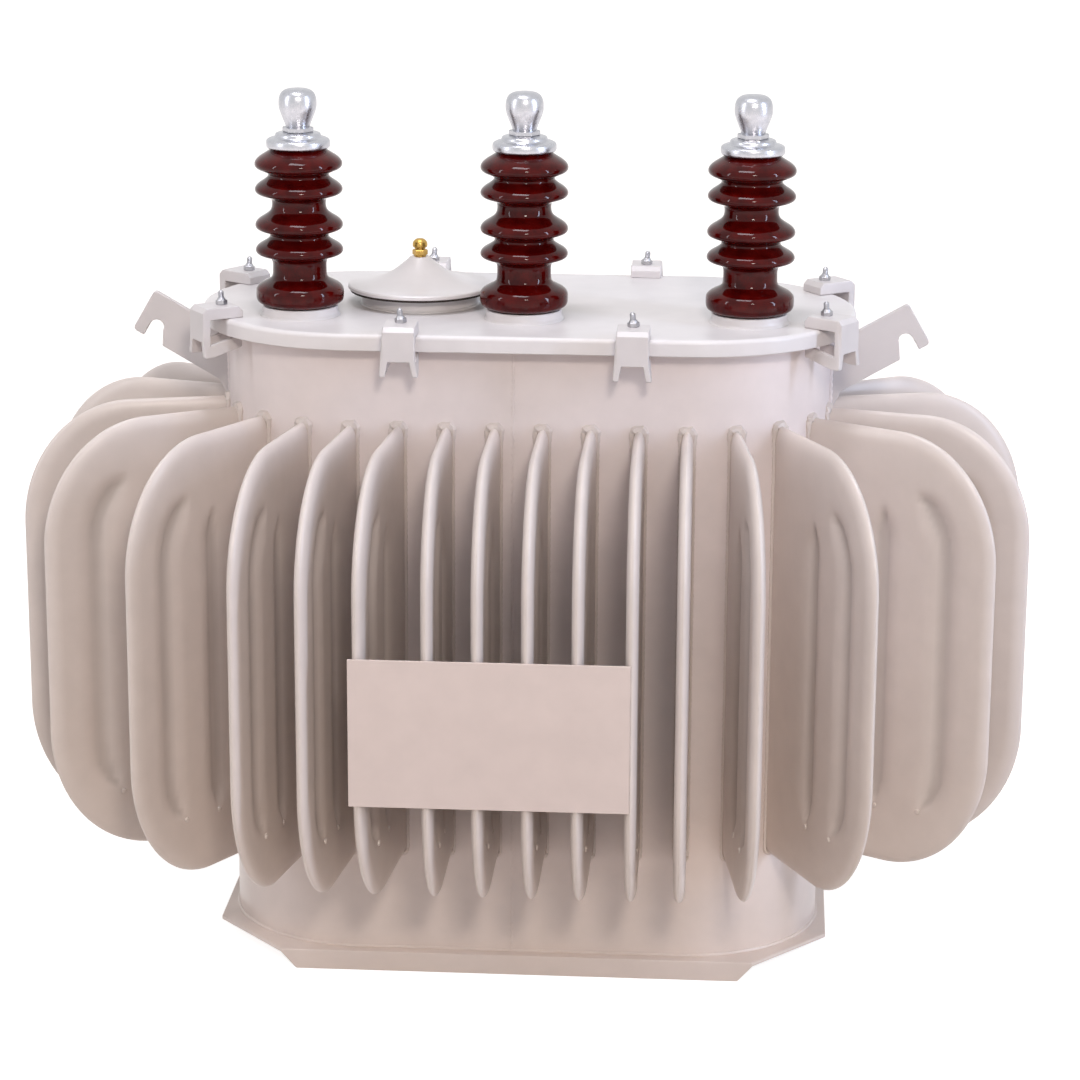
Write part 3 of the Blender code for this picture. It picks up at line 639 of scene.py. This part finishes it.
# %% Lid, neck, gasket and cone
rim_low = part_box("lid")[0].z
neck_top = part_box("lid")[1].z
FINE_STEPS = 96
LID_ROLL = 6 * MM
TOP_INSET = 12 * MM
roll = [(rim_radius - LID_ROLL + LID_ROLL * math.cos(a), lid_top - LID_ROLL + LID_ROLL * math.sin(a))
        for a in np.linspace(0, QUARTER, 9)]
lip = [(rim_radius - LID_SHEET, lid_top - LID_SHEET), (rim_radius - LID_SHEET, rim_low + MM),
       (rim_radius - LID_SHEET + MM, rim_low), (rim_radius - MM, rim_low), (rim_radius, rim_low + MM)]
lid_profile = lip + roll + [(rim_radius - TOP_INSET, lid_top)]
lid_shape = skin([oblong_line(r, z) for r, z in lid_profile])

cover_x, cover_y, cover_low = node_middle("handhole_cover")
cover_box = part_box("handhole_cover")
cover_radius = (cover_box[1].x - cover_box[0].x) / 2
NECK_RADIUS = 78 * MM
neck_profile = soften([(NECK_RADIUS + 3 * MM, lid_top - MM), (NECK_RADIUS + 2 * MM, lid_top + 1.5 * MM),
                       (NECK_RADIUS, lid_top + 3 * MM), (NECK_RADIUS, neck_top)], 2)
neck = moved(spin(neck_profile, FINE_STEPS), at(cover_x, cover_y, 0))
BOSS_RADIUS = 50 * MM
boss_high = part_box("hv_bushing_2")[0].z - SEAT_GAP
boss_profile = soften([(BOSS_RADIUS + 3.5 * MM, lid_top - MM), (BOSS_RADIUS + 2.5 * MM, lid_top + 1.5 * MM),
                       (BOSS_RADIUS, lid_top + 3.5 * MM), (BOSS_RADIUS, boss_high - 0.5 * MM),
                       (BOSS_RADIUS - 2 * MM, boss_high), (BOSS_RADIUS - 6 * MM, boss_high)], 2)
boss = spin(boss_profile, FINE_STEPS)
bosses = [moved(boss, at(*node_middle("hv_bushing_%d" % k)[:2], 0)) for k in (1, 2, 3)]
add_piece("pressed_lid", gathered([lid_shape, neck] + bosses), lid_enamel, ["lid"])

gasket = spin([(NECK_RADIUS - MM, -3.2 * MM), (cover_radius - 3 * MM, -3.2 * MM),
               (cover_radius - 2.4 * MM, -1.6 * MM), (cover_radius - 3 * MM, 0.3 * MM),
               (NECK_RADIUS - MM, 0.3 * MM)], FINE_STEPS)
add_piece("cover_gasket", moved(gasket, at(cover_x, cover_y, cover_low)), cork_rubber)

COVER_EDGE = 6 * MM
CONE_INSET = 3 * MM
CONE_POWER = 2.2
HUB_RADIUS = 13 * MM
cone_rise = cover_box[1].z - cover_low - COVER_EDGE
cone_radius = cover_radius - CONE_INSET
cone = [(cover_radius - 1.2 * MM, 0), (cover_radius, 1.2 * MM), (cover_radius, COVER_EDGE - 1.6 * MM),
        (cover_radius - 1.6 * MM, COVER_EDGE)]
cone += [(cone_radius - (cone_radius - HUB_RADIUS) * share, COVER_EDGE + cone_rise * share ** CONE_POWER)
         for share in np.linspace(0, 1, 26)[1:]]
add_piece("spun_cover", moved(spin(cone, 128), at(cover_x, cover_y, cover_low)), lid_enamel,
          ["handhole_cover"])
print("lid and cover, rim radius %.0f mm" % (rim_radius / MM))

# %% [markdown]
# ## The relief valve
# A small turned brass body with a hexagon for the spanner and a domed cap. Six steps make the hexagon, and
# the spun parts above and below it are finely stepped.

# %% Brass valve
valve_x, valve_y, valve_low = node_middle("relief_valve")
valve_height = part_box("relief_valve")[1].z - valve_low
lower = spin([(8 * MM, 0), (8 * MM, 2 * MM), (7 * MM, 2.4 * MM)], 40)
hexagon = spin([(9.6 * MM, 2 * MM), (10.4 * MM, 2.8 * MM), (10.4 * MM, 8.4 * MM), (9.6 * MM, 9.2 * MM)], 6)
upper = spin(soften([(7 * MM, 9 * MM), (7 * MM, 12 * MM), (9.6 * MM, 12.4 * MM), (10.2 * MM, 16 * MM),
                     (9.4 * MM, 20 * MM), (5 * MM, valve_height), (1.5 * MM, valve_height)], 3), 40)
valve = gathered([lower, hexagon, upper])
add_piece("turned_valve", moved(valve, at(valve_x, valve_y, valve_low)), brass, ["relief_valve"])
print("valve is %.0f mm tall" % (valve_height / MM))

# %% [markdown]
# ## High-voltage bushings and terminals
# A bushing is slip-cast and glazed: a foot, a thick ring, a neck, and sheds shaped like small umbrellas,
# steep above and hollowed below, that throw rain clear. A softened profile spun in 96 steps gives the
# continuous glaze highlights. It stands on a cork-rubber washer, and on top sits the terminal: a plated cap
# with a hexagon nut and a pear-shaped ball. Each profile is a list of radius and height in millimetres, and
# the bushing's has a line each for foot, ring, neck and sheds.

# %% Bushings, washers and terminals
BUSHING_PROFILE = [
    (44.5, 13.2), (46, 13.4), (51, 15), (56, 18), (57.7, 22),
    (58, 26), (58, 31), (57.5, 36), (53, 41), (45, 45),
    (37.5, 49), (35.6, 54), (35.5, 62), (35.5, 70), (37.5, 75),
    (46, 78.5), (54.5, 81), (57.8, 84.5), (57.6, 89), (54, 93.5), (46, 98), (40, 102), (38.5, 105.5),
    (41, 109.5), (48.5, 112), (55.5, 114.5), (57.9, 118), (57.4, 123), (53, 128), (44.5, 133),
    (37.8, 138), (35.5, 144), (35.5, 151), (37.5, 155.5),
    (46, 158.5), (54.5, 161), (57.9, 165), (57.3, 170), (52.5, 175), (44.5, 180), (39.5, 184.5),
    (41.5, 189), (49, 192), (55.5, 195), (57.9, 199), (57, 204.5), (51.5, 210), (44, 214.5),
    (38.5, 218), (36, 220), (35, 221)]
CAP_PROFILE = [(37, -0.3), (40, 0), (42, 2), (42, 8), (41, 11), (37, 13), (31, 14), (30, 17), (29, 19.5),
               (22, 20.5), (18, 21)]
NUT_PROFILE = [(19, 20.5), (20.5, 21.5), (20.5, 26.5), (19, 27.5)]
BALL_PROFILE = [(15, 26), (16, 29), (18, 34), (21.5, 43), (24.4, 51), (25, 57), (24.6, 65), (22, 72),
                (16, 76.4), (8, 77.6), (2, 77.7)]
WASHER_PROFILE = [(44, 12.6), (46.5, 12.7), (46.5, 14.3), (44, 14.4)]


def in_metres(profile):
    """A profile in millimetres to metres."""
    return [(r * MM, z * MM) for r, z in profile]


bushing = spin(soften(in_metres(BUSHING_PROFILE), 2), FINE_STEPS)
cap = spin(soften(in_metres(CAP_PROFILE), 1), 64)
nut = spin(in_metres(NUT_PROFILE), 6)
ball = spin(soften(in_metres(BALL_PROFILE), 2), 64)
terminal = gathered([cap, nut, ball])
washer = spin(soften(in_metres(WASHER_PROFILE), 1), FINE_STEPS)
for k in (1, 2, 3):
    x, y = node_middle("hv_bushing_%d" % k)[:2]
    add_piece("glazed_bushing_%d" % k, moved(bushing, at(x, y, lid_top + SEAT_GAP)), porcelain,
              ["hv_bushing_%d" % k], 70 * DEGREE)
    cap_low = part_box("hv_terminal_%d" % k)[0].z
    add_piece("plated_terminal_%d" % k, moved(terminal, at(x, y, cap_low)), tinned,
              ["hv_terminal_%d" % k], 50 * DEGREE)
    add_piece("bushing_gasket_%d" % k, moved(washer, at(x, y, lid_top)), cork_rubber)
print("three bushings of", len(bushing[1]), "faces")

# %% [markdown]
# ## Low-voltage bushings on the back
# Small glazed bushings stand out of the back wall above the fins, each in a welded collar. A brass stud with
# two hexagon nuts and washers is where the cable lug would be bolted. They are spun upright and laid back.

# %% Low-voltage bushings
LV_PROFILE = [(27, 0), (27, 4), (26.5, 9), (21, 13), (19, 20), (19, 25), (21, 29), (26, 33), (27, 37),
              (26, 41), (20, 45), (19, 49), (19, 52), (21, 55), (26, 59), (27, 63), (26, 67), (20, 72),
              (19, 77), (18, 80)]
STUD_PROFILE = [(7, 80), (7, 124), (6, 125)]
lay_back = Matrix.Rotation(-QUARTER, 4, "X")
lv_body = spin(soften(in_metres(LV_PROFILE), 2), 64)
lv_fittings = gathered([spin(in_metres(STUD_PROFILE), 32),
                        spin(in_metres([(14, 80), (15, 80.6), (15, 82.4), (14, 83)]), 40),
                        spin(in_metres([(11, 83), (12, 84), (12, 91), (11, 92)]), 6),
                        spin(in_metres([(13, 97), (14, 97.6), (14, 99.4), (13, 100)]), 40),
                        spin(in_metres([(11, 100), (12, 101), (12, 107), (11, 108)]), 6)])
collar = spin(soften(in_metres([(33, -1), (33, 3), (31, 4.5), (27, 5)]), 1), 64)
for k in (1, 2, 3, 4):
    low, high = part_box("lv_bushing_%d" % k)
    place = Matrix.Translation(((low.x + high.x) / 2, low.y, (low.z + high.z) / 2)) @ lay_back
    add_piece("lv_glazed_bushing_%d" % k, moved(lv_body, place), porcelain,
              ["lv_bushing_%d" % k], 70 * DEGREE)
    add_piece("lv_stud_%d" % k, moved(lv_fittings, place), brass)
    add_piece("lv_collar_%d" % k, moved(collar, place), tank_enamel)
print("four low-voltage bushings")

# %% [markdown]
# ## Flat plates that keep their solids
# Clamps, lifting lugs, the base plate and the front plate already have the right shape. Sheared and bent
# steel has edges rounded by a millimetre or two and filled by paint, so a Weld and a Bevel modifier on the
# CAD solid are enough, with normals weighted to the large faces so that they stay flat.

# %% Soft edges and paint on the CAD plates
SAME_POINT = 0.05 * MM
BEND_LIMIT = 30 * DEGREE


def soft_edges(name, width, material):
    """Weld the solid's corners, round its edges and repaint it."""
    plate = nodes[name]
    plate.data.materials.clear()
    plate.data.materials.append(material)
    plate.data.shade_smooth()
    join = plate.modifiers.new("join", "WELD")
    join.merge_threshold = SAME_POINT
    bevel = plate.modifiers.new("soft", "BEVEL")
    bevel.width = width
    bevel.segments = 3
    bevel.limit_method = "ANGLE"
    bevel.angle_limit = BEND_LIMIT
    even = plate.modifiers.new("even", "WEIGHTED_NORMAL")
    even.keep_sharp = True


for k in range(1, 9):
    soft_edges("lid_clamp_%d" % k, 1.4 * MM, fitting_enamel)
for side in ("left", "right"):
    soft_edges("lifting_lug_" + side, 1.5 * MM, fitting_enamel)
soft_edges("base_plate", 1.6 * MM, tank_enamel)
soft_edges("name_plate", 0.7 * MM, plate_enamel)
print("twelve plates softened")

# %% [markdown]
# ## Set screws and lug welds
# Each clamp is tightened by a set screw through its head, standing a little off the vertical, with a lock
# nut. The thread is drawn at a pitch of 1.5 mm as rings. Each lug is fillet-welded to the wall on both
# faces.

# %% Set screws and lug beads
THREAD_PITCH = 1.5
THREAD_ROOT = 3.4
THREAD_DEPTH = 0.5
THREAD_START = 8
THREAD_LENGTH = 9
SCREW_HEIGHT = 19
SCREW_IN = 5 * MM
SCREW_LEAN = 6 * DEGREE
thread = [(THREAD_ROOT + THREAD_DEPTH * (k % 2), THREAD_START + k * THREAD_PITCH / 2)
          for k in range(int(THREAD_LENGTH * 2 / THREAD_PITCH))]
screw = gathered([spin(in_metres([(4, -2)] + thread + [(2.6, SCREW_HEIGHT - 1), (1.2, SCREW_HEIGHT)]), 20),
                  spin(in_metres([(7, -0.4), (7.8, 0.5), (7.8, 5.4), (7, 6.2)]), 6),
                  spin(in_metres([(6, 6), (5.8, 7), (4, 9.5)]), 20)])
screws = []
for k in range(1, 9):
    corners = np.unique(np.round([v.co for v in nodes["lid_clamp_%d" % k].data.vertices], 5), axis=0)
    middle = corners.mean(axis=0)
    axis_x = max(-half_flat, min(half_flat, middle[0]))
    out = Vector((middle[0] - axis_x, middle[1], 0)).normalized()
    foot = Vector((axis_x, 0, corners[:, 2].max())) + out * (rim_radius - SCREW_IN)
    screws.append(moved(screw, Matrix.Translation(foot) @ Matrix.Rotation(SCREW_LEAN, 4, out)))
add_piece("clamp_set_screws", gathered(screws), zinc, sharp=30 * DEGREE)

LUG_BEAD_RADIUS = 3.4 * MM
LUG_BEAD_LENGTH = 100 * MM
LUG_BEAD_OUT = 0.5 * MM
lug_beads = []
for side, label in ((-1, "left"), (1, "right")):
    low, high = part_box("lifting_lug_" + label)
    x = side * (half_flat + tank_radius + LUG_BEAD_OUT)
    levels = np.arange(low.z, low.z + LUG_BEAD_LENGTH, BEAD_STEP)
    for y in (low.y - LUG_BEAD_OUT, high.y + LUG_BEAD_OUT):
        lug_beads.append(rippled([(x, y, z) for z in levels], LUG_BEAD_RADIUS))
add_piece("lug_welds", gathered(lug_beads), tank_enamel)
print("eight set screws and", len(lug_beads), "lug beads")

# %% [markdown]
# ## Floor, light and camera
# A plain pale floor takes the soft shadow and shows pure white to the camera, and metal and glaze mirror
# that white too. The light that the sky gives grows with its height, as the upper part of a workshop does.
# Four soft lamps give the form its shading: one near the camera, which alone reaches the wall between the
# fins, a narrow tall window on either side for the rims and the glaze, and one overhead for the lid. The
# camera stands where the photograph was taken: about 4.65 m from the middle of the object, a little to the
# right, looking down.

# %% Floor
FLOOR_HALF = 40.0
FLOOR_LIFT = 0.84


def sees_white(tree):
    """1 for a ray from the camera, off a shiny surface or through glass, and 0 for one that lights."""
    ray = add(tree, "ShaderNodeLightPath").outputs
    bent = add(tree, "ShaderNodeMath", {0: ray["Is Glossy Ray"], 1: ray["Is Transmission Ray"]},
               operation="MAXIMUM")
    return add(tree, "ShaderNodeMath", {0: ray["Is Camera Ray"], 1: bent.outputs[0]},
               operation="MAXIMUM").outputs[0]


floor_mesh = bpy.data.meshes.new("studio_floor")
floor_mesh.from_pydata([(x * FLOOR_HALF, y * FLOOR_HALF, 0) for x, y in ((-1, -1), (1, -1), (1, 1), (-1, 1))],
                       [], [(0, 1, 2, 3)])
floor = bpy.data.objects.new("studio_floor", floor_mesh)
bpy.context.scene.collection.objects.link(floor)
floor_paint, tree, shader, _ = new_material("pale_studio_floor")
floor_mesh.materials.append(floor_paint)
shader.inputs["Base Color"].default_value = linear("#CEC5C0")
shader.inputs["Roughness"].default_value = 0.9
shader.inputs["Specular IOR Level"].default_value = 0.1
shader.inputs["Emission Color"].default_value = linear("#FFFFFF")
glow = add(tree, "ShaderNodeMath", {0: sees_white(tree), 1: FLOOR_LIFT}, operation="MULTIPLY")
tree.links.new(glow.outputs[0], shader.inputs["Emission Strength"])
print("floor lifted by", FLOOR_LIFT)

# %% Sky and lamps
SKY_LOW, SKY_HIGH = 0.23, 0.55
SKY_TOP = 0.9
world = bpy.data.worlds.new("studio")
bpy.context.scene.world = world
world.use_nodes = True
sky = world.node_tree
sky.nodes.clear()
height = add(sky, "ShaderNodeSeparateXYZ", {"Vector": add(sky, "ShaderNodeTexCoord").outputs["Generated"]})
dome = add(sky, "ShaderNodeMapRange", {"Value": height.outputs["Z"], "From Min": 0.0, "From Max": SKY_TOP,
                                       "To Min": SKY_LOW, "To Max": SKY_HIGH}).outputs["Result"]
level = add(sky, "ShaderNodeMath", {0: dome, 1: sees_white(sky)}, operation="MAXIMUM")
even = add(sky, "ShaderNodeBackground", {"Color": linear("#FFFFFF"), "Strength": level.outputs[0]})
add(sky, "ShaderNodeOutputWorld", {"Surface": even.outputs["Background"]})


LAMP_TARGET = Vector((0, 0, 0.55))


def lamp(name, place, size, power, colour):
    """A soft lamp, as wide and as high as its size says, turned to the middle of the object."""
    light = bpy.data.lights.new(name, "AREA")
    light.shape = "RECTANGLE"
    light.size, light.size_y = size
    light.energy = power
    light.color = linear(colour)[:3]
    holder = bpy.data.objects.new(name, light)
    holder.location = place
    holder.rotation_mode = "QUATERNION"
    holder.rotation_quaternion = (LAMP_TARGET - Vector(place)).to_track_quat("-Z", "Y")
    bpy.context.scene.collection.objects.link(holder)


lamp("front_key", (0.9, -4.8, 3.3), (0.7, 0.7), 82, "#FFF4EA")
lamp("window_right", (4.0, -1.7, 2.0), (0.34, 3.2), 84, "#D2E2FF")
lamp("window_left", (-3.9, -2.1, 2.2), (0.22, 3.2), 40, "#F2F4FC")
lamp("ceiling_light", (-0.3, -0.9, 4.3), (1.6, 0.8), 59, "#F2F2FA")
print("sky from", SKY_LOW, "to", SKY_HIGH, "and four lamps")

# %% Camera
CAMERA_PLACE = Vector((0.318, -4.4695, 1.797))
CAMERA_YAW = -3.86 * DEGREE
CAMERA_PITCH = 15.47 * DEGREE
CAMERA_ROLL = 0.28 * DEGREE
CAMERA_LENS_MM = 112.9
SENSOR_MM = 36
ahead = Vector((math.sin(CAMERA_YAW) * math.cos(CAMERA_PITCH),
                math.cos(CAMERA_YAW) * math.cos(CAMERA_PITCH), -math.sin(CAMERA_PITCH)))
level_right = Vector((math.cos(CAMERA_YAW), -math.sin(CAMERA_YAW), 0))
up = level_right.cross(ahead)
right = level_right * math.cos(CAMERA_ROLL) + up * math.sin(CAMERA_ROLL)
up = up * math.cos(CAMERA_ROLL) - level_right * math.sin(CAMERA_ROLL)
camera_data = bpy.data.cameras.new("photo_camera")
camera_data.sensor_width = SENSOR_MM
camera_data.lens = CAMERA_LENS_MM
camera = bpy.data.objects.new("photo_camera", camera_data)
camera.matrix_world = Matrix.Translation(CAMERA_PLACE) @ Matrix((right, up, -ahead)).transposed().to_4x4()
bpy.context.scene.collection.objects.link(camera)
bpy.context.scene.camera = camera
bpy.context.scene.view_settings.view_transform = "Standard"
print("camera stands", round((CAMERA_PLACE - LAMP_TARGET).length, 2), "m away")
